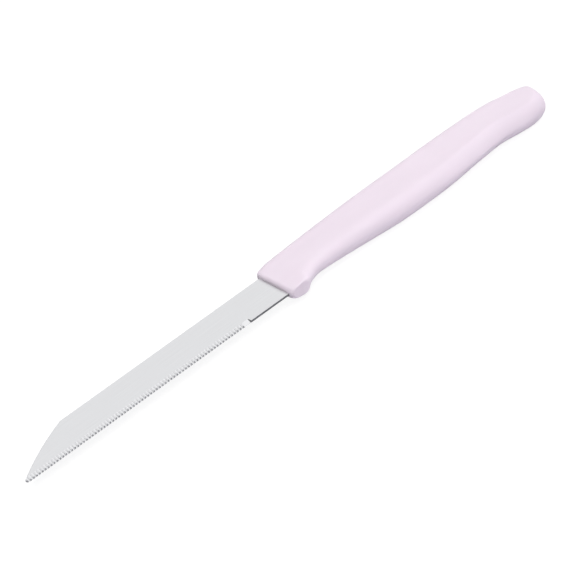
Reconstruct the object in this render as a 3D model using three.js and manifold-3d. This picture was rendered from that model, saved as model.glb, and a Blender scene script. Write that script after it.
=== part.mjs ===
// Vegetable knife: a stamped steel blade with a hidden tang, and a plastic handle moulded around the tang.
// Millimetres. X runs from the tip to the butt, Y from the cutting edge to the spine, Z is up.
// The knife lies on the flat side of its handle. While it is drawn, X is measured from the front of the
// handle, Y from the cutting edge and Z from the middle plane of the blade.

import * as THREE from 'three';
import { mergeVertices } from 'three/addons/utils/BufferGeometryUtils.js';
import Module from 'manifold-3d';

// Blade sizes
const bladeLength = 99;
const bladeWidth = 12.4;
const bladeThickness = 0.8;
const pointLength = 23;
const pointBulge = 0.75;
const pointBlend = 0.25;
const pointRadius = 0.9;
const plainHeelLength = 14.4;

// Ground edge: a row of fine flutes that leave small teeth between them, and a wider last flute at the heel
const grindHeight = 2.6;
const grindRemoved = 0.12;
const toothPitch = 1.1;
const fluteWidth = 0.66;
const fluteFacets = 6;
const lastFluteLength = 2.8;
const lastFluteFloor = 0.25;
const lastFluteCorner = 0.35;

// Tang and the two holes that lock it in the handle
const tangLength = 72;
const tangWidth = 7;
const tangHeightOverEdge = 4.2;
const lockHoleDiameter = 3.6;
const lockHoleFromFront = 20;
const lockHoleSpacing = 35;

// Handle sizes
const handleLength = 105;
const handleThickness = 8.2;
const frontThickness = 3.6;
const frontTaperLength = 50;
const frontRounding = 1;
const frontSpineRounding = 0.9;
const frontSpineFall = 1.1;
const frontSpineFallLength = 6;
const spineAboveBlade = 2.56;
const spineDip = 0.12;
const spineFall = 1.04;
const neckPlace = 18;
const neckRise = 1.28;
const neckFall = 9;
const neckFallLength = 15;
const bellyPlace = 53;
const bellyDrop = 1.03;
const waistFromEnd = 19.2;
const waistRise = 1.15;
const hookRise = 0.44;
const ridgeAtNeck = 6;
const ridgeAtButt = 3.3;
const frontBellySquareness = 2.8;
const rearBellySquareness = 1.6;
const bellyChangeLength = 75;
const spineRounding = 2.8;
const spineSquareness = 3;
const buttLength = 13;
const buttSpineDroop = 4;
const buttBellyDroop = 1.03;
const buttSpineSquareness = 2.15;
const buttBellySquareness = 3.04;

// Finger guard under the front of the handle, cut flat below
const guardDrop = 1.48;
const guardCutDepth = 4;
const guardMiddle = 3.7;
const guardReach = 3.6;
const guardBlend = 1.2;
const guardRounding = 0.55;

// Clearance that the tang has in the handle on every side
const tangClearance = 0.15;

const wasm = await Module();
wasm.setup();

function solidOf(geometry) {
  const bare = geometry.clone();
  bare.deleteAttribute('normal');
  bare.deleteAttribute('uv');
  const welded = mergeVertices(bare, 1e-5);
  return new wasm.Manifold(new wasm.Mesh({
    numProp: 3,
    vertProperties: new Float32Array(welded.attributes.position.array),
    triVerts: new Uint32Array(welded.index.array),
  }));
}

function meshOf(solid, name, material) {
  const data = solid.getMesh();
  const geometry = new THREE.BufferGeometry();
  const points = new Float32Array(data.vertProperties);
  geometry.setAttribute('position', new THREE.BufferAttribute(points, 3));
  geometry.setIndex(new THREE.BufferAttribute(new Uint32Array(data.triVerts), 1));
  geometry.computeVertexNormals();
  const mesh = new THREE.Mesh(geometry, material);
  mesh.name = name;
  return mesh;
}

function plateOf(shape, thickness, curveSegments) {
  const plate = new THREE.ExtrudeGeometry(shape, { depth: thickness, bevelEnabled: false, curveSegments });
  plate.translate(0, 0, -thickness / 2);
  return solidOf(plate);
}

// Smooth line through a few points, read as a height for each place along the knife
function smoothLine(points) {
  const places = new Float32Array(points.map((point) => point[0]));
  const heights = new Float32Array(points.map((point) => point[1]));
  const line = new THREE.CubicInterpolant(places, heights, 1, new Float32Array(1));
  return (x) => line.evaluate(x)[0];
}

const between = (from, to, share) => from + (to - from) * share;

// Blade: flat plate with a straight edge, a straight spine that drops to the point, and the tang
const tangBottom = tangHeightOverEdge;
const tangTop = tangHeightOverEdge + tangWidth;
const tangCorner = tangWidth / 4;
const lockHoleRadius = lockHoleDiameter / 2;
const lockHoleHeight = (tangBottom + tangTop) / 2;
const lockHoleX = [lockHoleFromFront, lockHoleFromFront + lockHoleSpacing];

function bladeShape() {
  const pointX = -bladeLength;
  const breakX = pointX + pointLength;
  const chord = Math.hypot(pointLength, bladeWidth - pointRadius);
  const bulgeX = (pointX + breakX) / 2 - 2 * pointBulge * (bladeWidth - pointRadius) / chord;
  const bulgeY = (bladeWidth + pointRadius) / 2 + 2 * pointBulge * pointLength / chord;
  const blendX = breakX + (bulgeX - breakX) * pointBlend;
  const blendY = bladeWidth + (bulgeY - bladeWidth) * pointBlend;
  const shape = new THREE.Shape();
  shape.moveTo(pointX + pointRadius, 0);
  shape.lineTo(-tangClearance, 0);
  shape.lineTo(-tangClearance, tangBottom);
  shape.lineTo(tangLength - tangCorner, tangBottom);
  shape.quadraticCurveTo(tangLength, tangBottom, tangLength, tangBottom + tangCorner);
  shape.lineTo(tangLength, tangTop - tangCorner);
  shape.quadraticCurveTo(tangLength, tangTop, tangLength - tangCorner, tangTop);
  shape.lineTo(-tangClearance, tangTop);
  shape.lineTo(-tangClearance, bladeWidth);
  shape.lineTo(breakX + (breakX - blendX), bladeWidth);
  shape.quadraticCurveTo(breakX, bladeWidth, blendX, blendY);
  shape.quadraticCurveTo(bulgeX, bulgeY, pointX, pointRadius);
  shape.quadraticCurveTo(pointX, 0, pointX + pointRadius, 0);
  for (const x of lockHoleX) {
    const hole = new THREE.Path();
    hole.absarc(x, lockHoleHeight, lockHoleRadius, 0, 2 * Math.PI, true);
    shape.holes.push(hole);
  }
  return shape;
}

// Steel ground away along the edge: round-bottomed flutes swept along the slope of the grind
function groundAway() {
  const slope = Math.atan2(bladeThickness, grindHeight);
  const endX = -plainHeelLength - lastFluteLength;
  const teeth = Math.ceil((bladeLength + endX) / toothPitch);
  const reach = 2 * bladeThickness;
  const profile = new THREE.Shape();
  const flute = (left, right, floor, corner) => {
    profile.lineTo(left, reach);
    for (let facet = 0; facet <= fluteFacets; facet += 1) {
      const turn = Math.PI / 2 * facet / fluteFacets;
      profile.lineTo(left + corner * (1 - Math.cos(turn)), floor + corner * (1 - Math.sin(turn)));
    }
    for (let facet = fluteFacets; facet >= 0; facet -= 1) {
      const turn = Math.PI / 2 * facet / fluteFacets;
      profile.lineTo(right - corner * (1 - Math.cos(turn)), floor + corner * (1 - Math.sin(turn)));
    }
    profile.lineTo(right, reach);
  };
  const land = toothPitch - fluteWidth;
  profile.moveTo(endX - teeth * toothPitch, 2 * reach);
  profile.lineTo(endX - teeth * toothPitch, reach);
  for (let tooth = teeth; tooth > 0; tooth -= 1) {
    const right = endX - (tooth - 1) * toothPitch - land;
    flute(right - fluteWidth, right, 0, fluteWidth / 2);
  }
  flute(endX, endX + lastFluteLength, lastFluteFloor, lastFluteCorner);
  profile.lineTo(endX + lastFluteLength, 2 * reach);
  const length = 3 * grindHeight;
  const sweep = new THREE.ExtrudeGeometry(profile, { depth: length, bevelEnabled: false, curveSegments: 8 });
  sweep.translate(0, 0, -length / 2);
  const along = new THREE.Vector3(1, 0, 0);
  const outward = new THREE.Vector3(0, -Math.sin(slope), Math.cos(slope));
  const downward = new THREE.Vector3(0, -Math.cos(slope), -Math.sin(slope));
  sweep.applyMatrix4(new THREE.Matrix4().makeBasis(along, outward, downward));
  sweep.translate(0, grindRemoved, -bladeThickness / 2);
  return solidOf(sweep);
}

const bladeSolid = plateOf(bladeShape(), bladeThickness, 16).subtract(groundAway());

// Handle outline seen from the side
const spineTop = bladeWidth + spineAboveBlade;
const buttStart = handleLength - buttLength;
const buttTop = spineTop - spineDip - spineFall;
const waistPlace = handleLength - waistFromEnd;
const spineLine = smoothLine([
  [0, spineTop],
  [between(0, bellyPlace, 0.38), spineTop - spineDip * 0.5],
  [bellyPlace, spineTop - spineDip],
  [between(bellyPlace, buttStart, 0.6), spineTop - spineDip * 0.92],
  [buttStart, buttTop],
  [handleLength, buttTop - buttSpineDroop],
]);
const bellyLine = smoothLine([
  [0, neckRise],
  [neckPlace, neckRise],
  [between(neckPlace, bellyPlace, 0.44), between(neckRise, -bellyDrop, 0.49)],
  [between(neckPlace, bellyPlace, 0.73), between(neckRise, -bellyDrop, 0.922)],
  [bellyPlace, -bellyDrop],
  [between(bellyPlace, waistPlace, 0.28), between(-bellyDrop, waistRise, 0.031)],
  [between(bellyPlace, waistPlace, 0.76), between(-bellyDrop, waistRise, 0.723)],
  [waistPlace, waistRise],
  [buttStart, hookRise],
  [handleLength, hookRise - buttBellyDroop],
]);

function topLine(x) {
  return spineLine(x) - frontSpineFall * Math.max(1 - x / frontSpineFallLength, 0) ** 2;
}

function guardLine(x) {
  return -guardDrop - guardCutDepth + guardCutDepth * ((x - guardMiddle) / guardReach) ** 2;
}

function bottomLine(x) {
  const fall = x > guardMiddle ? neckFall * Math.max(1 - x / neckFallLength, 0) ** 2 : 0;
  const belly = bellyLine(x) - fall;
  const guard = guardLine(x);
  const mix = Math.min(Math.max(0.5 + 0.5 * (guard - belly) / guardBlend, 0), 1);
  return guard * (1 - mix) + belly * mix - guardBlend * mix * (1 - mix);
}

function halfThickness(x) {
  const share = Math.min(Math.max(x / frontTaperLength, 0), 1);
  return (frontThickness + (handleThickness - frontThickness) * share * (2 - share)) / 2;
}

function ridgeOverBelly(x) {
  return between(ridgeAtNeck, ridgeAtButt, x / buttStart);
}

function bellySquarenessAt(x) {
  return between(frontBellySquareness, rearBellySquareness, Math.min(x / bellyChangeLength, 1));
}

// Cross-section of one half of the handle, as steps outward from a line on the flat flank.
// Towards the spine it turns over a rounded corner. Towards the belly it leaves a soft ridge and runs round.
const flankLine = lockHoleHeight;
const sectionSteps = 9;

function halfSection(top, bottom, half, ridgeHeight, bellySquareness) {
  const spineSide = [];
  const bellySide = [];
  const cornerStart = top - Math.min(spineRounding, (top - flankLine) * 0.8);
  const ridge = Math.min(bottom + ridgeHeight, flankLine - 0.1);
  for (let step = 0; step < sectionSteps; step += 1) {
    const turn = Math.PI / 2 * step / (sectionSteps - 1);
    const rise = Math.sin(turn) ** (2 / spineSquareness);
    const spread = Math.cos(turn) ** (2 / spineSquareness);
    spineSide.push([between(cornerStart, top, rise), half * spread]);
    const sink = Math.sin(turn) ** (2 / bellySquareness);
    bellySide.push([between(ridge, bottom, sink), half * Math.cos(turn) ** (2 / bellySquareness)]);
  }
  spineSide[sectionSteps - 1] = [top, 0];
  bellySide[sectionSteps - 1] = [bottom, 0];
  return { spineSide, bellySide };
}

// Places of the cross-sections: close together over the rounded front and the guard, wider behind
function sectionPlaces() {
  const places = [];
  for (let step = 0; step < 6; step += 1) {
    places.push(frontRounding * (1 - Math.cos(Math.PI / 2 * step / 5)));
  }
  const guardEnd = guardMiddle + guardReach * 3;
  const guardSteps = Math.ceil((guardEnd - frontRounding) / 0.7);
  for (let step = 1; step <= guardSteps; step += 1) {
    places.push(frontRounding + (guardEnd - frontRounding) * step / guardSteps);
  }
  const bodySteps = Math.ceil((buttStart - guardEnd) / 3);
  for (let step = 1; step <= bodySteps; step += 1) {
    places.push(guardEnd + (buttStart - guardEnd) * step / bodySteps);
  }
  return places;
}

function sectionAt(x) {
  const into = Math.min(x / frontRounding, 1);
  const inset = frontRounding * (1 - Math.sqrt(1 - (1 - into) ** 2));
  const { spineSide, bellySide } = halfSection(
    topLine(x) - inset * frontSpineRounding / frontRounding,
    bottomLine(x) + inset * guardRounding / frontRounding,
    halfThickness(x) - inset,
    ridgeOverBelly(x),
    bellySquarenessAt(x),
  );
  const place = ([y, z]) => new THREE.Vector3(x, y, z);
  const row = [...spineSide.map(place).reverse(), place([flankLine, spineSide[0][1]])];
  return [...row, ...bellySide.map(place)];
}

// Rounded butt: the last cross-section swung about the flank line, from the spine round to the belly
function buttRows() {
  const half = halfThickness(buttStart);
  const top = topLine(buttStart);
  const bottom = bottomLine(buttStart);
  const { spineSide, bellySide } = halfSection(top, bottom, half, ridgeAtButt, bellySquarenessAt(buttStart));
  const swingSteps = 18;
  const rows = [];
  for (let step = 0; step <= swingSteps; step += 1) {
    const swing = Math.PI / 2 - Math.PI * step / swingSteps;
    const rise = swing > 0 ? top - flankLine : flankLine - bottom;
    const squareness = swing > 0 ? buttSpineSquareness : buttBellySquareness;
    const fullDroop = swing > 0 ? buttSpineDroop : buttBellyDroop;
    const across = (Math.cos(swing) / buttLength) ** squareness;
    const upright = (Math.abs(Math.sin(swing)) / rise) ** squareness;
    const radius = (across + upright) ** (-1 / squareness);
    const share = Math.max(-Math.sin(swing), 0);
    const droop = fullDroop * radius * Math.cos(swing) * Math.abs(Math.sin(swing)) / buttLength;
    const row = [];
    for (let index = 0; index < sectionSteps; index += 1) {
      const spineInset = top - spineSide[index][0];
      const bellyInset = bellySide[index][0] - bottom;
      const reach = radius - spineInset * (1 - share) - bellyInset * share;
      const height = spineSide[index][1] * (1 - share) + bellySide[index][1] * share;
      row.push(new THREE.Vector3(
        buttStart + reach * Math.cos(swing),
        flankLine + reach * Math.sin(swing) - droop * reach / radius,
        height,
      ));
    }
    rows.push(row);
  }
  return rows;
}

function handleBody() {
  const corners = [];
  const triangle = (a, b, c) => {
    corners.push(a.x, a.y, a.z, b.x, b.y, b.z, c.x, c.y, c.z);
    corners.push(a.x, a.y, -a.z, c.x, c.y, -c.z, b.x, b.y, -b.z);
  };
  const panel = (first, second) => {
    for (let index = 0; index + 1 < first.length; index += 1) {
      triangle(first[index], first[index + 1], second[index]);
      triangle(second[index], first[index + 1], second[index + 1]);
    }
  };
  const sections = sectionPlaces().map(sectionAt);
  for (let index = 0; index + 1 < sections.length; index += 1) {
    panel(sections[index], sections[index + 1]);
  }
  const front = sections[0];
  const frontMiddle = new THREE.Vector3(0, flankLine, 0);
  for (let index = 0; index + 1 < front.length; index += 1) {
    triangle(frontMiddle, front[index + 1], front[index]);
  }
  const rows = buttRows();
  const pole = new THREE.Vector3(buttStart, flankLine, halfThickness(buttStart));
  for (let index = 0; index + 1 < rows.length; index += 1) {
    panel([...rows[index]].reverse(), [...rows[index + 1]].reverse());
    triangle(pole, rows[index + 1][0], rows[index][0]);
  }
  const geometry = new THREE.BufferGeometry();
  geometry.setAttribute('position', new THREE.Float32BufferAttribute(corners, 3));
  return solidOf(geometry);
}

// Flat cut under the guard
function guardCut() {
  const block = new THREE.BoxGeometry(guardMiddle * 4, guardCutDepth * 4, handleThickness * 2);
  block.translate(guardMiddle, -guardDrop - guardCutDepth * 2, 0);
  return solidOf(block);
}

// Slot for the tang, with plastic left standing in the two holes
function tangSlot() {
  const corner = tangCorner + tangClearance;
  const low = tangBottom - tangClearance;
  const high = tangTop + tangClearance;
  const end = tangLength + tangClearance;
  const start = -frontRounding;
  const shape = new THREE.Shape();
  shape.moveTo(start, low);
  shape.lineTo(end - corner, low);
  shape.quadraticCurveTo(end, low, end, low + corner);
  shape.lineTo(end, high - corner);
  shape.quadraticCurveTo(end, high, end - corner, high);
  shape.lineTo(start, high);
  shape.closePath();
  for (const x of lockHoleX) {
    const peg = new THREE.Path();
    peg.absarc(x, lockHoleHeight, lockHoleRadius - tangClearance, 0, 2 * Math.PI, true);
    shape.holes.push(peg);
  }
  return plateOf(shape, bladeThickness + 2 * tangClearance, 12);
}

const handleSolid = handleBody().subtract(guardCut()).subtract(tangSlot());

// Finished pieces, moved so that the origin is under the middle of the knife
const steel = new THREE.MeshStandardMaterial({ color: 0xd6d7da, roughness: 0.35, metalness: 1 });
const plastic = new THREE.MeshStandardMaterial({ color: 0xf0e2ef, roughness: 0.45, metalness: 0 });
const knife = new THREE.Group();
knife.name = 'vegetable_knife';
knife.add(meshOf(bladeSolid, 'blade', steel));
knife.add(meshOf(handleSolid, 'handle', plastic));

const box = new THREE.Box3().setFromObject(knife);
const middle = box.getCenter(new THREE.Vector3());
for (const piece of knife.children) {
  piece.geometry.translate(-middle.x, -middle.y, -box.min.z);
}

export default knife;
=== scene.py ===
# %% [markdown]
# # A vegetable knife in Blender
# The knife has two pieces: a thin stamped steel blade with a row of small ground flutes along its edge,
# and a plastic handle that was moulded around the blade's tang.
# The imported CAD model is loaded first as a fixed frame, so every piece can be put where it belongs.
# After that each piece is modelled as you would by hand: add a primitive, shape it in edit mode, finish it.

# %% Load the frame
import math
from bisect import bisect_right
import bmesh
import bpy
from mathutils import Matrix, Vector


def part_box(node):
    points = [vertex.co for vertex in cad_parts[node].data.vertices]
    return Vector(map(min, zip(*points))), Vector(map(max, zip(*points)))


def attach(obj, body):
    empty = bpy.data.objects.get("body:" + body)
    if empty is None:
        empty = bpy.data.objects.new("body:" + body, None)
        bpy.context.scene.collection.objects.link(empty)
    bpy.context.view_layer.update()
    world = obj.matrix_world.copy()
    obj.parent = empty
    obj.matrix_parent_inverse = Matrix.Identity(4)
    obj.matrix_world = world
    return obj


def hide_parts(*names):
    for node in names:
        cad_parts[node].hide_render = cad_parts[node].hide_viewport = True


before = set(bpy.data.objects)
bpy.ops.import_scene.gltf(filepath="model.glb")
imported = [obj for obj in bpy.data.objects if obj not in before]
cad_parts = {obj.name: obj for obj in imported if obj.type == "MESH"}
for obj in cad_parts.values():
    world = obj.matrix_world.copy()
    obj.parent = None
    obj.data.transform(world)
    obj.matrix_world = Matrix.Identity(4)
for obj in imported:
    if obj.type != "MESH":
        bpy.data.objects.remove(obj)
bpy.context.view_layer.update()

# %% [markdown]
# A knife maker measures from three places: the front of the handle, the cutting edge, and the middle plane
# of the blade. We do the same. `place` turns such millimetres into the metres of the frame, and it
# takes the three zero places from the CAD blade, so nothing has to be fitted by eye. Lengths with names in
# capitals are millimetres too, unless a note says metres.

# %% Measuring from the front of the handle
MM = 0.001
BLADE_LENGTH = 99.0
blade_low, blade_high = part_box("blade")
ZERO = Vector((blade_low[0] + BLADE_LENGTH * MM, blade_low[1], (blade_low[2] + blade_high[2]) / 2))


def place(along, up, out):
    """Frame metres for millimetres along the knife, up from its edge and out from its middle plane."""
    return ZERO + Vector((along, up, out)) * MM


print("front of the handle, edge and middle plane:", [round(value / MM, 2) for value in ZERO])

# %% [markdown]
# Operators act on whatever is selected, and loading the frame leaves its pieces selected. These small
# helpers clear the selection, go in and out of edit mode, and pick vertices or edges by where they are.
# Places closer together than a thousandth of a millimetre count as one place.

# %% Helpers for working in edit mode
CLOSE = 0.001 * MM  # metres


def start_piece(name):
    """Name the primitive that was just added and open it in edit mode."""
    piece = bpy.context.object
    piece.name = name
    piece.data.name = name
    bpy.ops.object.mode_set(mode="EDIT")
    return piece


def clear_selection():
    if bpy.context.mode != "OBJECT":
        bpy.ops.object.mode_set(mode="OBJECT")
    bpy.ops.object.select_all(action="DESELECT")


def select_only(piece):
    clear_selection()
    piece.select_set(True)
    bpy.context.view_layer.objects.active = piece


def pick(piece, kind, wanted):
    """In edit mode, select the vertices ("verts") or edges ("edges") for which `wanted` is true."""
    bpy.ops.mesh.select_all(action="DESELECT")
    modes = {"verts": "VERT", "edges": "EDGE"}
    bpy.ops.mesh.select_mode(type=modes[kind])
    mesh = bmesh.from_edit_mesh(piece.data)
    chosen = [part for part in getattr(mesh, kind) if wanted(part)]
    for part in chosen:
        part.select_set(True)
    mesh.select_flush_mode()
    bmesh.update_edit_mesh(piece.data)
    return len(chosen)


def middle_of(edge):
    return (edge.verts[0].co + edge.verts[1].co) / 2


def apply_modifier(piece, modifier):
    bpy.context.view_layer.objects.active = piece
    bpy.ops.object.modifier_apply(modifier=modifier.name)


# %% [markdown]
# ## The blade's outline
# On the real knife the blade is stamped out of thin sheet. Its edge and spine are straight, and near the
# tip the spine drops in a long soft curve. A plane gives the strip of sheet. Then we trim it the way a
# grinder would: one straight bisect after another, each touching the curve, until the facets are too
# small to see. Three more bisects round the very point.

# %% Cut the strip and trim the point
BLADE_WIDTH = 12.4
BLADE_THICKNESS = 0.8
BLADE_INTO_HANDLE = 1.0
POINT_LENGTH = 23.0
POINT_BULGE = 0.75
POINT_RADIUS = 0.9
POINT_TRIMS = 22
TIP_TURNS = (20, 45, 70)  # degrees
BISECT_CLOSE = CLOSE / 10  # metres

clear_selection()
strip_length = BLADE_LENGTH + BLADE_INTO_HANDLE
bpy.ops.mesh.primitive_plane_add(
    size=1,
    location=place(BLADE_INTO_HANDLE - strip_length / 2, BLADE_WIDTH / 2, -BLADE_THICKNESS / 2),
)
bpy.context.object.scale = (strip_length * MM, BLADE_WIDTH * MM, 1)
bpy.ops.object.transform_apply(location=True, rotation=True, scale=True)
blade = start_piece("blade_steel")


def drop_curve(share):
    """Point and outward direction on the drop from the tip (0) to the straight spine (1)."""
    start = Vector((-BLADE_LENGTH, POINT_RADIUS))
    end = Vector((-BLADE_LENGTH + POINT_LENGTH, BLADE_WIDTH))
    run = end - start
    outward = Vector((-run.y, run.x)).normalized()
    pull = (start + end) / 2 + outward * 2 * POINT_BULGE
    spot = start * (1 - share) ** 2 + pull * 2 * share * (1 - share) + end * share ** 2
    heading = (pull - start) * (1 - share) + (end - pull) * share
    return spot, Vector((-heading.y, heading.x)).normalized()


def trim(spot, outward):
    bpy.ops.mesh.select_all(action="SELECT")
    bpy.ops.mesh.bisect(
        plane_co=place(spot.x, spot.y, 0),
        plane_no=(outward.x, outward.y, 0),
        clear_outer=True,
        threshold=BISECT_CLOSE,
    )


for step in range(POINT_TRIMS + 1):
    trim(*drop_curve(step / POINT_TRIMS))
for turn in TIP_TURNS:
    outward = Vector((-math.cos(math.radians(turn)), -math.sin(math.radians(turn))))
    trim(Vector((POINT_RADIUS - BLADE_LENGTH, POINT_RADIUS)) + outward * POINT_RADIUS, outward)
print("blade outline has", len(bmesh.from_edit_mesh(blade.data).verts), "corners")

# %% [markdown]
# ## The tang
# Behind the handle's front the blade narrows to a hidden tang, which the plastic grips. The rear edge is
# divided in three, the two new corners slide to the tang's lower and upper edge, and the middle edge is
# extruded into the handle. Its end corners are rounded with a vertex bevel.

# %% Draw out the tang
TANG_LENGTH = 72.0
TANG_LOW = 4.2
TANG_HIGH = 11.2
TANG_MIDDLE = (TANG_LOW + TANG_HIGH) / 2
TANG_CORNER = 1.4


def at_rear(point):
    return abs(point.x - place(BLADE_INTO_HANDLE, 0, 0).x) < CLOSE


def rear_edge(edge):
    return all(at_rear(vert.co) for vert in edge.verts)


pick(blade, "edges", rear_edge)
bpy.ops.mesh.subdivide(number_cuts=2)
for share, height in ((1 / 3, TANG_LOW), (2 / 3, TANG_HIGH)):
    now = place(0, BLADE_WIDTH * share, 0).y
    pick(blade, "verts", lambda vert: at_rear(vert.co) and abs(vert.co.y - now) < CLOSE)
    bpy.ops.transform.translate(value=(0, place(0, height, 0).y - now, 0))
tang_y = place(0, TANG_MIDDLE, 0).y
pick(blade, "edges", lambda edge: rear_edge(edge) and abs(middle_of(edge).y - tang_y) < CLOSE)
bpy.ops.mesh.extrude_region_move(
    TRANSFORM_OT_translate={"value": ((TANG_LENGTH - BLADE_INTO_HANDLE) * MM, 0, 0)}
)
pick(blade, "verts", lambda vert: vert.co.x > place(TANG_LENGTH, 0, 0).x - CLOSE)
bpy.ops.mesh.bevel(affect="VERTICES", offset=TANG_CORNER * MM, segments=4)
print("tang reaches", TANG_LENGTH, "mm into the handle")

# %% [markdown]
# ## Thickness and broken edges
# The sheet is 0.8 mm thick. Extruding the whole outline closes it into a plate. A stamped blade is tumbled
# afterwards, which takes the sharpness off its outline, so a tiny bevel goes along both rims.

# %% Thicken the blade
EDGE_BREAK = 0.12
RIM_ANGLE = math.radians(60)

bpy.ops.mesh.select_all(action="SELECT")
bpy.ops.mesh.extrude_region_move(TRANSFORM_OT_translate={"value": (0, 0, BLADE_THICKNESS * MM)})
bpy.ops.mesh.select_all(action="SELECT")
bpy.ops.mesh.normals_make_consistent(inside=False)


def on_rim(edge):
    """True for an edge that runs level between a face of the plate and its side."""
    return abs(edge.verts[0].co.z - edge.verts[1].co.z) < CLOSE and edge.calc_face_angle(0) > RIM_ANGLE


rims = pick(blade, "edges", on_rim)
bpy.ops.mesh.bevel(offset=EDGE_BREAK * MM, segments=2, profile=0.5)
bpy.ops.object.mode_set(mode="OBJECT")
print("broke", rims, "rim edges by", EDGE_BREAK, "mm")

# %% [markdown]
# ## The ground flutes
# One face of the edge is ground with a row of fine round-bottomed flutes, and the steel left standing
# between two of them is a tooth. The cutter for one flute is a bar: a cube that is stretched, rounded
# along its two lower edges with a bevel, and tilted to the slope of the grind. An Array repeats it along
# the blade.

# %% Shape the cutter for the flutes
GRIND_HEIGHT = 1.5
GRIND_REMOVED = 0.12
TOOTH_PITCH = 1.1
FLUTE_WIDTH = 0.68
FLUTE_CORNER = 0.48 * FLUTE_WIDTH
CORNER_STEPS = 6
PLAIN_HEEL = 14.4
LAST_FLUTE_LENGTH = 2.8
LAST_FLUTE_FLOOR = 0.12
LAST_FLUTE_CORNER = 0.35

slope = math.atan2(BLADE_THICKNESS, GRIND_HEIGHT)
flute_floor = place(0, GRIND_REMOVED, -BLADE_THICKNESS / 2)
flutes_end = -PLAIN_HEEL - LAST_FLUTE_LENGTH
flute_count = math.ceil((BLADE_LENGTH + flutes_end) / TOOTH_PITCH)
flutes_start = flutes_end - flute_count * TOOTH_PITCH


def grinding_bar(name, left, width, floor, corner):
    """Bar along the slope of the grind, rounded below, with its underside `floor` mm over the slope."""
    length, height = 3 * GRIND_HEIGHT, 2 * BLADE_THICKNESS
    clear_selection()
    bpy.ops.mesh.primitive_cube_add(size=1, location=(0, 0, 0))
    bar = start_piece(name)
    bpy.ops.transform.resize(value=(width * MM, length * MM, height * MM))
    side_x, lower_z = width / 2 * MM - CLOSE, -height / 2 * MM + CLOSE
    pick(bar, "edges", lambda edge: middle_of(edge).z < lower_z and abs(middle_of(edge).x) > side_x)
    bpy.ops.mesh.bevel(offset=corner * MM, segments=CORNER_STEPS, profile=0.5)
    bpy.ops.object.mode_set(mode="OBJECT")
    outward = Vector((0, -math.sin(slope), math.cos(slope)))
    along = Vector(((left + width / 2) * MM, 0, 0))
    bar.location = flute_floor + along + outward * (floor + height / 2) * MM
    bar.rotation_euler = (slope, 0, 0)
    bpy.ops.object.transform_apply(location=True, rotation=True, scale=True)
    return bar


flute_cutter = grinding_bar("flute_cutter", flutes_start, FLUTE_WIDTH, 0, FLUTE_CORNER)
row = flute_cutter.modifiers.new("row of flutes", "ARRAY")
row.count = flute_count
row.use_relative_offset = False
row.use_constant_offset = True
row.constant_offset_displace = (TOOTH_PITCH * MM, 0, 0)
apply_modifier(flute_cutter, row)
print("one row of", flute_count, "flutes,", TOOTH_PITCH, "mm apart")

# %% [markdown]
# The grind ends at the heel with one wider and shallower flute. Its cutter is made the same way, and the
# two are joined, so that the whole edge can be ground in one go.

# %% Add the wide last flute
grinding_bar("last_flute", flutes_end, LAST_FLUTE_LENGTH, LAST_FLUTE_FLOOR, LAST_FLUTE_CORNER)
flute_cutter.select_set(True)
bpy.context.view_layer.objects.active = flute_cutter
bpy.ops.object.join()
print("flute cutter has", len(flute_cutter.data.polygons), "faces")

# %% [markdown]
# ## Steel
# Four finishes meet on the blade. Its faces are satin, with a very fine grain along the blade. The flutes
# show brighter, sharper lines up the slope, left by the wheel. The rim of the plain heel is dull, as the
# shears left it, and its dark tone is painted: it stands in for the dark reflection of these sideways
# faces.
# The small ends of the teeth carry the same painted darkness, a little lighter. All four are metal, so what
# changes is the roughness, the grain and the tone. Each pattern is noise on the piece's own coordinates,
# stretched along the grain, and only its middle range is used, so that light and dark both show.

# %% Node helpers for the finishes
PATTERN_LOW = 0.3
PATTERN_HIGH = 0.7
NOISE_ROUGHNESS = 0.55


def new_finish(name):
    """Material with a plain Principled shader, ready for its nodes."""
    finish = bpy.data.materials.new(name)
    finish.use_nodes = True
    return finish, finish.node_tree.nodes, finish.node_tree.links, finish.node_tree.nodes["Principled BSDF"]


def set_inputs(node, settings):
    for label, value in settings.items():
        node.inputs[label].default_value = value


def stretched_noise(nodes, links, stretch, detail):
    """Noise on the piece's own coordinates, in cycles per metre along X, Y and Z."""
    coordinates = nodes.new("ShaderNodeTexCoord")
    mapping = nodes.new("ShaderNodeMapping")
    set_inputs(mapping, {"Scale": stretch})
    noise = nodes.new("ShaderNodeTexNoise")
    set_inputs(noise, {"Scale": 1, "Detail": detail, "Roughness": NOISE_ROUGHNESS})
    links.new(coordinates.outputs["Object"], mapping.inputs["Vector"])
    links.new(mapping.outputs["Vector"], noise.inputs["Vector"])
    return noise.outputs["Fac"]


def tone_ramp(nodes, links, source, low, high):
    """Colour that runs from `low` to `high` as the pattern rises."""
    ramp = nodes.new("ShaderNodeValToRGB")
    start, end = ramp.color_ramp.elements
    start.position, start.color = PATTERN_LOW, (*low, 1)
    end.position, end.color = PATTERN_HIGH, (*high, 1)
    links.new(source, ramp.inputs["Fac"])
    return ramp.outputs["Color"]


def spread(nodes, links, source, low, high):
    """Number that runs from `low` to `high` as the pattern rises."""
    reach = nodes.new("ShaderNodeMapRange")
    set_inputs(reach, {"From Min": PATTERN_LOW, "From Max": PATTERN_HIGH, "To Min": low, "To Max": high})
    links.new(source, reach.inputs["Value"])
    return reach.outputs["Result"]


def relief(nodes, links, shader, source, depth, strength):
    """Fine bumps that follow the pattern, `depth` metres high."""
    bump = nodes.new("ShaderNodeBump")
    set_inputs(bump, {"Strength": strength, "Distance": depth})
    links.new(source, bump.inputs["Height"])
    links.new(bump.outputs["Normal"], shader.inputs["Normal"])


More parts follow.
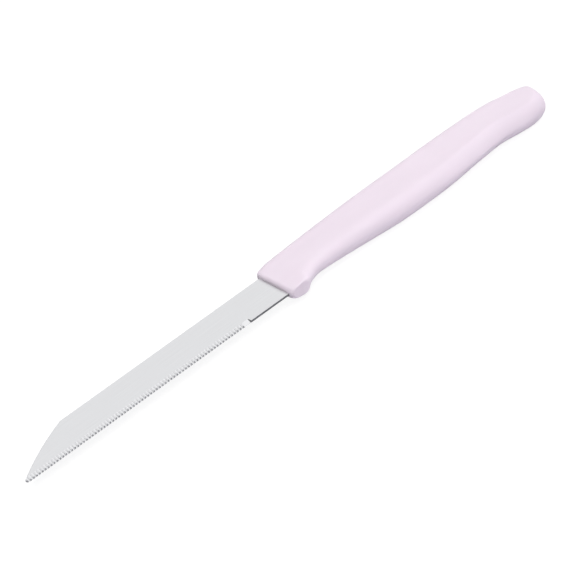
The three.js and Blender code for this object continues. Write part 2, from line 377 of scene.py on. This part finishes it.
def steel_finish(name, grain, dark, light, roughness, depth):
    """Metal with `grain` cycles per metre, a range of tone and roughness, and bumps of `depth` metres."""
    finish, nodes, links, shader = new_finish(name)
    set_inputs(shader, {"Metallic": 1})
    pattern = stretched_noise(nodes, links, grain, detail=4)
    links.new(tone_ramp(nodes, links, pattern, dark, light), shader.inputs["Base Color"])
    links.new(spread(nodes, links, pattern, *roughness), shader.inputs["Roughness"])
    relief(nodes, links, shader, pattern, depth, strength=0.3)
    return finish


satin_steel = steel_finish(
    "satin_steel",
    grain=(60, 6000, 6000),
    dark=(0.705, 0.706, 0.710),
    light=(0.765, 0.766, 0.770),
    roughness=(0.30, 0.38),
    depth=2e-6,
)
ground_steel = steel_finish(
    "ground_steel",
    grain=(9000, 300, 300),
    dark=(0.78, 0.781, 0.785),
    light=(0.86, 0.861, 0.865),
    roughness=(0.36, 0.48),
    depth=3e-6,
)
# The two rim finishes are steel with a painted dark tone: their low base colour stands in for the dark
# reflection of the sideways rims.
sheared_steel_painted_dark, tooth_steel_painted_dark = (
    steel_finish(name, (2500, 2500, 2500), dark, light, roughness=(0.40, 0.55), depth=6e-6)
    for name, dark, light in (
        ("sheared_steel_painted_dark", (0.16, 0.16, 0.165), (0.24, 0.24, 0.245)),
        ("tooth_steel_painted_dark", (0.34, 0.34, 0.345), (0.45, 0.45, 0.455)),
    )
)
print("steel finishes:", satin_steel.name, ground_steel.name, sheared_steel_painted_dark.name, tooth_steel_painted_dark.name)

# %% [markdown]
# ## Grinding the edge
# A bisect where the plain heel starts lets the rim change its finish there. Then the faces are sorted by
# the way they look: the two faces of the blade and the upper broken edge, which was polished with them,
# are satin, and what looks sideways is rim, with a painted dark tone for its dark reflection, darker along
# the heel and lighter along the teeth. A Boolean difference takes the flutes out of the plate. The cutter
# carries the ground finish and hands it on to the faces that it cuts, apart from the wall where the last
# flute meets the heel, which keeps the heel's painted dark tone.

# %% Give the steel its finishes and cut the flutes
LEANS_OUT = 0.3
FACES_DOWN = -0.95
SATIN, GROUND, SHEARED_PAINTED_DARK, TOOTH_PAINTED_DARK = range(4)


def cut_away(piece, cutter, label, hand_on_finish=False):
    """Boolean difference that uses the cutter up. The cutter can hand its finish on to the new faces."""
    cut = piece.modifiers.new(label, "BOOLEAN")
    cut.operation = "DIFFERENCE"
    cut.solver = "EXACT"
    cut.material_mode = "TRANSFER" if hand_on_finish else "INDEX"
    cut.object = cutter
    apply_modifier(piece, cut)
    bpy.data.objects.remove(cutter)


select_only(blade)
bpy.ops.object.mode_set(mode="EDIT")
bpy.ops.mesh.select_all(action="SELECT")
bpy.ops.mesh.bisect(plane_co=place(-PLAIN_HEEL, 0, 0), plane_no=(1, 0, 0), threshold=BISECT_CLOSE)
bpy.ops.object.mode_set(mode="OBJECT")
for piece in (blade, flute_cutter):
    for finish in (satin_steel, ground_steel, sheared_steel_painted_dark, tooth_steel_painted_dark):
        piece.data.materials.append(finish)
heel_start = place(-PLAIN_HEEL, 0, 0).x
for face in blade.data.polygons:
    # Sideways rim faces get a painted dark tone, darker along the plain heel and lighter along the teeth.
    rim = SHEARED_PAINTED_DARK if face.center.x > heel_start else TOOTH_PAINTED_DARK
    face.material_index = rim if FACES_DOWN <= face.normal.z <= LEANS_OUT else SATIN
last_wall = heel_start - LAST_FLUTE_CORNER * MM
# The cutter's faces get the ground finish, except the end wall of the last flute, which keeps the heel's
# painted dark tone.
for face in flute_cutter.data.polygons:
    at_heel = face.center.x > last_wall and face.normal.x > LEANS_OUT
    face.material_index = SHEARED_PAINTED_DARK if at_heel else GROUND
cut_away(blade, flute_cutter, "grind the flutes", hand_on_finish=True)
print("blade has", len(blade.data.polygons), "faces after grinding")

# %% [markdown]
# Two holes through the tang let the plastic flow through and lock the blade. A cylinder stands in each
# place and is subtracted. They are hidden in the finished knife, but the part is kept piece by piece.

# %% Drill the lock holes
LOCK_HOLE_DIAMETER = 3.6
LOCK_HOLES = (20.0, 55.0)
HOLE_CORNERS = 32
STEEL_SMOOTH_ANGLE = math.radians(16)


def upright_bar(along, diameter):
    """Round bar through the tang, longer than the blade is thick."""
    clear_selection()
    bpy.ops.mesh.primitive_cylinder_add(
        vertices=HOLE_CORNERS,
        radius=diameter / 2 * MM,
        depth=4 * BLADE_THICKNESS * MM,
        location=place(along, TANG_MIDDLE, 0),
    )
    return bpy.context.object


for along in LOCK_HOLES:
    cut_away(blade, upright_bar(along, LOCK_HOLE_DIAMETER), "lock hole")
select_only(blade)
bpy.ops.object.shade_smooth_by_angle(angle=STEEL_SMOOTH_ANGLE)
print("blade is", [round(size / MM, 2) for size in blade.dimensions], "mm")

# %% [markdown]
# ## The handle's form
# The handle is one moulding: nearly flat flanks with a rounded spine, a soft ridge below the middle, and
# a belly that runs round underneath. It starts thin at the blade, swells towards the hand and droops at
# the butt. We draw one cross-section, extrude it ring after ring along the knife, and lay each new ring
# on the lines of the spine and the belly at that place.

# %% Lines of the handle seen from the side
HANDLE_LENGTH = 105.0
SPINE_KNOTS = ((0, 14.96), (20.14, 14.9), (53, 14.84), (76.4, 14.85), (92, 13.81), (105, 9.76))
BELLY_KNOTS = (
    (0, 1.18),
    (18, 1.18),
    (33.4, 0.04),
    (43.55, -0.99),
    (53, -1.21),
    (62.18, -1.19),
    (77.93, 0.19),
    (85.8, 0.78),
    (92, -0.11),
    (105, -1.01),
)
BELLY_MIDDLE = 53


def smooth_line(knots, along):
    """Height of the smooth line through a few measured places."""
    places, heights = zip(*knots)
    slants = [(b[1] - a[1]) / (b[0] - a[0]) for a, b in zip(knots, knots[1:])]
    slopes = [slants[0], *((a + b) / 2 for a, b in zip(slants, slants[1:])), slants[-1]]
    left = min(max(bisect_right(places, along) - 1, 0), len(slants) - 1)
    gap = places[left + 1] - places[left]
    share = (along - places[left]) / gap
    rise = heights[left] * (1 + 2 * share) * (1 - share) ** 2
    rise += slopes[left] * gap * share * (1 - share) ** 2
    rise += heights[left + 1] * share ** 2 * (3 - 2 * share)
    return rise + slopes[left + 1] * gap * share ** 2 * (share - 1)


belly_width = smooth_line(SPINE_KNOTS, BELLY_MIDDLE) - smooth_line(BELLY_KNOTS, BELLY_MIDDLE)
print("handle is", round(belly_width, 2), "mm wide at the belly")

# %% [markdown]
# The finger guard hangs below the front. Its lobe is drawn deeper than it is, and every point that would
# lie below the flat is lifted softly onto it. That leaves the oval flat of the real handle with a rounded
# rim. Behind the lobe the belly's line is pulled down and let go again over a few millimetres, so that the
# guard runs back into the neck in one curve.

# %% Underside with the finger guard
GUARD_DROP = 1.478
GUARD_LOBE = 4.5
GUARD_MIDDLE = 3.75
GUARD_REACH = 3.45
GUARD_BLEND = 1.2
GUARD_RIM = 1.4
NECK_FALL = 9.0
NECK_FALL_LENGTH = 15.0


def soft_low(first, second, blend):
    """The lower of two heights, with a soft change from one to the other."""
    mix = min(max(0.5 + 0.5 * (first - second) / blend, 0), 1)
    return first * (1 - mix) + second * mix - blend * mix * (1 - mix)


def underside(along):
    """Height of the lowest line of the handle, before the flat of the guard."""
    belly = smooth_line(BELLY_KNOTS, along)
    if along > GUARD_MIDDLE:
        belly -= NECK_FALL * max(1 - along / NECK_FALL_LENGTH, 0) ** 2
    guard = -GUARD_DROP - GUARD_LOBE + GUARD_LOBE * ((along - GUARD_MIDDLE) / GUARD_REACH) ** 2
    return soft_low(guard, belly, GUARD_BLEND)


def over_flat(height):
    """Lift a height that lies below the flat of the guard softly onto it."""
    return -soft_low(-height, GUARD_DROP, GUARD_RIM)


lobe = underside(GUARD_MIDDLE)
print("guard lobe reaches", round(lobe, 2), "mm, lifted to", round(over_flat(lobe), 2), "mm")

# %% [markdown]
# One cross-section runs from the spine down one flank to the belly: a rounded corner over the spine, one
# point in the middle of the flank that lies a little deep, because the real flank is slightly hollow, and
# a round belly below the ridge. Two numbers say how full the belly is, under the ridge and at the keel,
# where the two sides meet. With 2 and 2 it would be an ellipse. At the neck it is fuller, and behind the
# hand the ridge is crisper and the keel narrower. The front of the handle is thin and its rim is rounded.

# %% Cross-section at any place
HALF_THICKNESS = 4.1
FRONT_HALF = 1.8
TAPER_LENGTH = 50.0
FRONT_ROUNDING = 1.0
FRONT_SPINE_ROUNDING = 0.9
FRONT_GUARD_ROUNDING = 0.55
FRONT_FALL = 1.1
FRONT_FALL_LENGTH = 6.0
FLANK_AT_FRONT = 10.2
FLANK_AT_BUTT = 7.7
FLANK_HOLLOW = 0.03
RIDGE_AT_NECK = 5.6
RIDGE_AT_BUTT = 3.4
RIDGE_UNDER_FLANK = 0.6
RIDGE_FULLNESS = (3.25, 1.21)
KEEL_FULLNESS = (2.15, 1.58)
FULLNESS_LENGTH = 75.0
SPINE_ROUNDING = 2.8
SPINE_SQUARENESS = 3.0
BUTT_LENGTH = 13.0
BUTT_START = HANDLE_LENGTH - BUTT_LENGTH
TURN_STEPS = 9


def half_section(top, bottom, half, flank, ridge_height, ridge_fullness, keel_fullness):
    """Heights and thicknesses from the spine, down one flank, to the belly."""
    outline = []
    corner = top - SPINE_ROUNDING
    for step in range(TURN_STEPS + 1):
        turn = math.pi / 2 * (1 - step / TURN_STEPS)
        rise = math.sin(turn) ** (2 / SPINE_SQUARENESS)
        out = max(math.cos(turn), 0) ** (2 / SPINE_SQUARENESS)
        outline.append((corner + SPINE_ROUNDING * rise, half * out))
    outline.append((flank, half * (1 - FLANK_HOLLOW)))
    ridge_height = min(ridge_height, flank - RIDGE_UNDER_FLANK - bottom)
    for step in range(TURN_STEPS + 1):
        roll = math.pi / 2 * step / TURN_STEPS
        height = bottom + ridge_height * (1 - math.sin(roll) ** (2 / ridge_fullness))
        outline.append((height, half * max(math.cos(roll), 0) ** (2 / keel_fullness)))
    return outline


def near_side(along):
    """Half of the cross-section at a place along the handle."""
    share = min(along / TAPER_LENGTH, 1)
    half = FRONT_HALF + (HALF_THICKNESS - FRONT_HALF) * share * (2 - share)
    into = min(along / FRONT_ROUNDING, 1)
    inset = 1 - math.sqrt(1 - (1 - into) ** 2)
    top = smooth_line(SPINE_KNOTS, along) - FRONT_FALL * max(1 - along / FRONT_FALL_LENGTH, 0) ** 2
    towards_butt = along / BUTT_START
    flank = FLANK_AT_FRONT + (FLANK_AT_BUTT - FLANK_AT_FRONT) * towards_butt
    ridge_height = RIDGE_AT_NECK + (RIDGE_AT_BUTT - RIDGE_AT_NECK) * towards_butt
    change = min(along / FULLNESS_LENGTH, 1)
    fullness = [front + (rear - front) * change for front, rear in (RIDGE_FULLNESS, KEEL_FULLNESS)]
    side = half_section(
        top - inset * FRONT_SPINE_ROUNDING,
        underside(along) + inset * FRONT_GUARD_ROUNDING,
        half - inset * FRONT_ROUNDING,
        flank,
        ridge_height,
        *fullness,
    )
    return [(over_flat(height), out) for height, out in side] if along < NECK_FALL_LENGTH else side


def ring_at(along):
    """The whole cross-section as places in the frame, once round."""
    side = near_side(along)
    whole = side + [(height, -out) for height, out in side[-2:0:-1]]
    return [place(along, height, out) for height, out in whole]


print("one ring has", len(ring_at(0)), "points")

# %% [markdown]
# The first ring is a filled circle whose points are pulled onto the cross-section. Now the handle grows.
# Each round extrudes the end face a little further along the knife and lays its corners on the new ring.
# Rings stand close together over the rounded front and the guard, where the form changes quickly, and
# wider along the grip.

# %% Extrude the handle ring after ring
FRONT_RINGS = 5
GUARD_RINGS = 18
GUARD_RING_GAP = 0.75
GRIP_RINGS = 30


def ring_places():
    """Places of the rings behind the first one, from the front to the butt."""
    turns = [math.pi / 2 * step / FRONT_RINGS for step in range(1, FRONT_RINGS + 1)]
    front = [FRONT_ROUNDING * (1 - math.cos(turn)) for turn in turns]
    guard = [FRONT_ROUNDING + GUARD_RING_GAP * step for step in range(1, GUARD_RINGS + 1)]
    grip_length = BUTT_START - guard[-1]
    grip = [guard[-1] + grip_length * step / GRIP_RINGS for step in range(1, GRIP_RINGS + 1)]
    return front + guard + grip


ring = ring_at(0)
clear_selection()
bpy.ops.mesh.primitive_circle_add(
    vertices=len(ring), radius=HALF_THICKNESS * MM, fill_type="NGON", location=place(0, FLANK_AT_FRONT, 0)
)
bpy.ops.object.transform_apply(location=True, rotation=True, scale=True)
handle = start_piece("handle_moulding")
mesh = bmesh.from_edit_mesh(handle.data)
for vert, spot in zip(mesh.verts, ring):
    vert.co = spot
bmesh.update_edit_mesh(handle.data)
bpy.ops.mesh.select_all(action="SELECT")
for along in ring_places():
    before, ring = ring, ring_at(along)
    bpy.ops.mesh.extrude_region_move(TRANSFORM_OT_translate={"value": (ring[0].x - before[0].x, 0, 0)})
    mesh = bmesh.from_edit_mesh(handle.data)
    corners = [vert for vert in mesh.verts if vert.select]
    order = [min(corners, key=lambda vert: (vert.co.yz - spot.yz).length) for spot in before]
    for vert, spot in zip(order, ring):
        vert.co = spot
    bmesh.update_edit_mesh(handle.data)
print("handle has", len(ring_places()) + 1, "rings up to the butt")

# %% [markdown]
# ## The butt
# The end of the handle is rounded like a pebble. Its rim is narrow over the spine and widens to a soft
# facet from the very end down to the belly. Rings can't do that, so the end face is deleted and the upper
# half of the last ring is spun half a turn about the middle of the flanks, over the end and down to the
# belly. Each point is then pulled out to the butt's outline, which is longer than high, squarish and
# drooping. Round the end the outline's values for the spine turn into those for the belly. Last, the seam
# is merged, and one level of subdivision smooths the whole moulding.

# %% Spin the butt
SWING_STEPS = 24
SPINE_SQUARENESS_AND_DROOP = (2.14, 4.05)
BELLY_SQUARENESS_AND_DROOP = (3.05, 0.90)
BUTT_CHANGE = 0.8  # radians of the swing over which the spine's values turn into the belly's
FACET_START = 0.15  # sine of the swing at which the facet starts
FACET_GROWTH = 0.85
FACET_AT_END = 1.4  # width at the very end, as a multiple of the belly's own

bpy.ops.mesh.delete(type="ONLY_FACE")
butt_x = place(BUTT_START, 0, 0).x
hub = place(BUTT_START, FLANK_AT_BUTT, 0)
pick(
    handle, "edges",
    lambda edge: all(abs(vert.co.x - butt_x) < CLOSE and vert.co.y > hub.y - CLOSE for vert in edge.verts),
)
bpy.ops.mesh.spin(steps=SWING_STEPS, angle=math.pi, center=hub, axis=(0, 0, 1))

last_side = near_side(BUTT_START)
spine_side = last_side[:TURN_STEPS + 2]
belly_side = last_side[:TURN_STEPS:-1] + [last_side[TURN_STEPS + 1]]
butt_top, butt_bottom = spine_side[0][0], belly_side[0][0]


def on_butt(swing, index, side):
    """Place on the butt for a swing from straight up to straight down and a point of the ring."""
    up, along = math.sin(swing), max(math.cos(swing), 0)
    rise = butt_top - FLANK_AT_BUTT if up > 0 else FLANK_AT_BUTT - butt_bottom
    turned = min(max(0.5 - swing / BUTT_CHANGE, 0), 1)
    mix = turned ** 2 * (3 - 2 * turned)
    squareness, droop = (
        spine * (1 - mix) + belly * mix
        for spine, belly in zip(SPINE_SQUARENESS_AND_DROOP, BELLY_SQUARENESS_AND_DROOP)
    )
    radius = ((along / BUTT_LENGTH) ** squareness + (abs(up) / rise) ** squareness) ** (-1 / squareness)
    share = (max(FACET_START - up, 0) / (1 + FACET_START)) ** FACET_GROWTH
    facet = (belly_side[index][0] - butt_bottom) * (1 + (FACET_AT_END - 1) * along ** 2)
    inset = (butt_top - spine_side[index][0]) * (1 - share) + facet * share
    reach = max(radius - inset, 0) if index <= TURN_STEPS else 0
    sag = droop * reach * along * abs(up) / BUTT_LENGTH
    out = spine_side[index][1] * (1 - share) + belly_side[index][1] * share
    return place(BUTT_START + reach * along, FLANK_AT_BUTT + reach * up - sag, side * out)


mesh = bmesh.from_edit_mesh(handle.data)
spun = {vert for vert in mesh.verts if vert.select or vert.co.x > butt_x + CLOSE}
for vert in spun:
    arm = vert.co - hub
    distance, swing = math.hypot(arm.x, arm.y) / MM, math.atan2(arm.y, arm.x)
    index = min(
        range(len(spine_side)),
        key=lambda step: math.hypot(
            spine_side[step][0] - FLANK_AT_BUTT - distance, spine_side[step][1] - abs(arm.z) / MM
        ),
    )
    vert.co = on_butt(swing, index, 1 if arm.z > 0 else -1)
bmesh.update_edit_mesh(handle.data)
bpy.ops.mesh.select_all(action="SELECT")
bpy.ops.mesh.remove_doubles(threshold=CLOSE)
bpy.ops.mesh.normals_make_consistent(inside=False)
open_edges = sum(edge.is_boundary for edge in bmesh.from_edit_mesh(handle.data).edges)
bpy.ops.object.mode_set(mode="OBJECT")
smooth = handle.modifiers.new("smooth moulding", "SUBSURF")
smooth.levels = 1
smooth.render_levels = 1
apply_modifier(handle, smooth)
print("butt closed with", open_edges, "open edges, handle has", len(handle.data.polygons), "faces")

# %% [markdown]
# The plastic closes round the blade, so the blade's own space is taken out of the handle: a shallow
# pocket as wide as the blade at the front, and the deep slot for the tang, with pegs left standing in the
# lock holes.

# %% Make room for the blade
TANG_ROOM = 0.15
POCKET_ROOM = 0.02
POCKET_START = -2.0
SLOT_START = 0.5
PLASTIC_SMOOTH_ANGLE = math.radians(40)


def room_for(along, up, out):
    """Box cutter between two places along the knife and two heights, `out` millimetres thick."""
    clear_selection()
    bpy.ops.mesh.primitive_cube_add(size=1, location=place(sum(along) / 2, sum(up) / 2, 0))
    cutter = bpy.context.object
    cutter.scale = ((along[1] - along[0]) * MM, (up[1] - up[0]) * MM, out * MM)
    bpy.ops.object.transform_apply(location=True, rotation=True, scale=True)
    return cutter


pocket = room_for(
    (POCKET_START, BLADE_INTO_HANDLE + POCKET_ROOM),
    (-POCKET_ROOM, BLADE_WIDTH + POCKET_ROOM),
    BLADE_THICKNESS + 2 * POCKET_ROOM,
)
cut_away(handle, pocket, "pocket for the heel")
slot_room = room_for(
    (SLOT_START, TANG_LENGTH + TANG_ROOM),
    (TANG_LOW - TANG_ROOM, TANG_HIGH + TANG_ROOM),
    BLADE_THICKNESS + 2 * TANG_ROOM,
)
for along in LOCK_HOLES:
    cut_away(slot_room, upright_bar(along, LOCK_HOLE_DIAMETER - 2 * TANG_ROOM), "peg")
cut_away(handle, slot_room, "slot for the tang")
select_only(handle)
bpy.ops.object.shade_smooth_by_angle(angle=PLASTIC_SMOOTH_ANGLE)
print("handle is", [round(size / MM, 2) for size in handle.dimensions], "mm")

# %% [markdown]
# ## Plastic
# The handle is a pale lilac-pink plastic with a satin surface. Moulded plastic is never quite even: the
# tone drifts a little over the length, the sheen is patchy, and a very fine grain comes from the mould. A
# little light also goes into the plastic and comes out again close by, which softens its shadows.

# %% Finish the handle
plastic, nodes, links, shader = new_finish("lilac_plastic")
clouds = stretched_noise(nodes, links, (60, 160, 160), detail=3)
lilac = tone_ramp(nodes, links, clouds, low=(0.755, 0.66, 0.733), high=(0.775, 0.68, 0.753))
links.new(lilac, shader.inputs["Base Color"])
links.new(spread(nodes, links, clouds, low=0.40, high=0.48), shader.inputs["Roughness"])
mould_grain = stretched_noise(nodes, links, (2200, 2200, 2200), detail=3)
relief(nodes, links, shader, mould_grain, depth=8e-6, strength=0.25)
set_inputs(shader, {
    "Specular IOR Level": 0.4,
    "Subsurface Weight": 0.08,
    "Subsurface Radius": (0.0016, 0.0012, 0.0014),
    "Subsurface Scale": 1,
})
handle.data.materials.append(plastic)
print("handle finish:", plastic.name)

# %% [markdown]
# ## Hand the pieces over
# Nothing moves on this knife, so both pieces ride on the one body. Each stands for its CAD solid.

# %% Ride and replace
for piece, node in ((blade, "blade"), (handle, "handle")):
    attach(piece, "root")
    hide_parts(node)
print("pieces:", blade.name, handle.name)

# %% [markdown]
# ## Floor, light and camera
# The photograph shows the knife on burnt-out white with almost no shadow. A studio gets that with a lit
# table, and we get it with two sheets, one just above the other. The lower one is pale paper that bounces
# light up into the knife, and the camera doesn't see it. The upper one is only for the camera: it glows,
# so its shadow stays faint.

# %% Lay the floor
SHEET_WIDTH = 12  # metres
FIBRE_CONTRAST = 1.02


def lay_sheet(name, below, tone, glow):
    """Large pale sheet, `below` millimetres under the knife."""
    clear_selection()
    bpy.ops.mesh.primitive_plane_add(size=SHEET_WIDTH, location=(0, 0, -below * MM))
    sheet = bpy.context.object
    sheet.name = name
    paper, nodes, links, shader = new_finish(name)
    fibres = stretched_noise(nodes, links, (400, 400, 400), detail=2)
    lighter = [value * FIBRE_CONTRAST for value in tone]
    links.new(tone_ramp(nodes, links, fibres, tone, lighter), shader.inputs["Base Color"])
    set_inputs(shader, {
        "Roughness": 0.9,
        "Specular IOR Level": 0.1,
        "Emission Color": (1, 1, 1, 1),
        "Emission Strength": glow,
    })
    sheet.data.materials.append(paper)
    return sheet


bounce_sheet = lay_sheet("bounce_sheet", below=0.2, tone=(0.66, 0.66, 0.70), glow=0)
bounce_sheet.visible_camera = False
white_sheet = lay_sheet("white_sheet", below=0.02, tone=(0.18, 0.18, 0.18), glow=0.88)
white_sheet.visible_diffuse = False
white_sheet.visible_glossy = False
white_sheet.visible_shadow = False
print("sheets:", bounce_sheet.name, white_sheet.name)

# %% [markdown]
# The light is soft and comes mostly from above, with weaker panels in front and at the butt. These three
# light the plastic, and the steel does not mirror them. What the steel mirrors is one wide even ceiling,
# which gives the blade its flat grey and lights nothing else. A dim world fills the rest.

# %% Set the soft light


def soft_panel(name, where, size, watts):
    """Square lamp, `size` metres wide, that looks at the knife."""
    bpy.ops.object.light_add(type="AREA", location=where)
    lamp = bpy.context.object
    lamp.name = name
    lamp.data.shape = "SQUARE"
    lamp.data.size = size
    lamp.data.energy = watts
    lamp.rotation_euler = Vector(where).to_track_quat("Z", "Y").to_euler()
    return lamp


lamp_above = soft_panel("lamp_above", where=(0, -0.35, 2.2), size=2.4, watts=44.5)
lamp_front = soft_panel("lamp_front", where=(0, -3.0, 0.4), size=2.5, watts=22)
lamp_front.data.color = (0.97, 0.93, 1)
lamp_right = soft_panel("lamp_right", where=(3.0, 0.3, 0.9), size=2, watts=26)
for lamp in (lamp_above, lamp_front, lamp_right):
    lamp.visible_glossy = False
ceiling = soft_panel("ceiling", where=(0, 0, 2.6), size=10, watts=225)
ceiling.visible_diffuse = False
world = bpy.data.worlds.new("studio")
bpy.context.scene.world = world
world.use_nodes = True
set_inputs(world.node_tree.nodes["Background"], {"Color": (0.95, 0.96, 1, 1), "Strength": 0.4})
bpy.context.scene.view_settings.view_transform = "Standard"

# %% [markdown]
# The camera stands well back with a long lens and is rolled, so that the knife runs from the lower left to
# the upper right as in the photograph. Its three angles were found by matching the outline.

# %% Set the camera
CAMERA_DISTANCE = 2.2  # metres
PIXELS_PER_MM = 3.553
IMAGE_PIXELS = 570
SHIFT_PIXELS = (-3.2, -0.03)
AIM = (5, 9.56, -4.1)
SENSOR_WIDTH = 36
VIEW_DEPTH = 50  # metres
YAW = math.radians(27)
TILT = math.radians(48)
ROLL = math.radians(35.659)

level = Vector((math.cos(YAW), -math.sin(YAW) * math.sin(TILT), math.sin(YAW) * math.cos(TILT)))
steep = Vector((0, math.cos(TILT), math.sin(TILT)))
back = level.cross(steep)
right = (level * math.cos(ROLL) - steep * math.sin(ROLL)).normalized()
up = back.cross(right)
shift = up * SHIFT_PIXELS[1] - right * SHIFT_PIXELS[0]
aim = place(*AIM) + shift * MM / PIXELS_PER_MM
bpy.ops.object.camera_add()
camera = bpy.context.object
camera.name = "photo_camera"
camera.data.sensor_width = SENSOR_WIDTH
camera.data.lens = SENSOR_WIDTH * PIXELS_PER_MM * CAMERA_DISTANCE / MM / IMAGE_PIXELS
camera.data.clip_end = VIEW_DEPTH
turned = Matrix((right, up, back)).transposed().to_4x4()
turned.translation = aim + back * CAMERA_DISTANCE
camera.matrix_world = turned
bpy.context.scene.camera = camera
print("lens", round(camera.data.lens, 1), "mm")
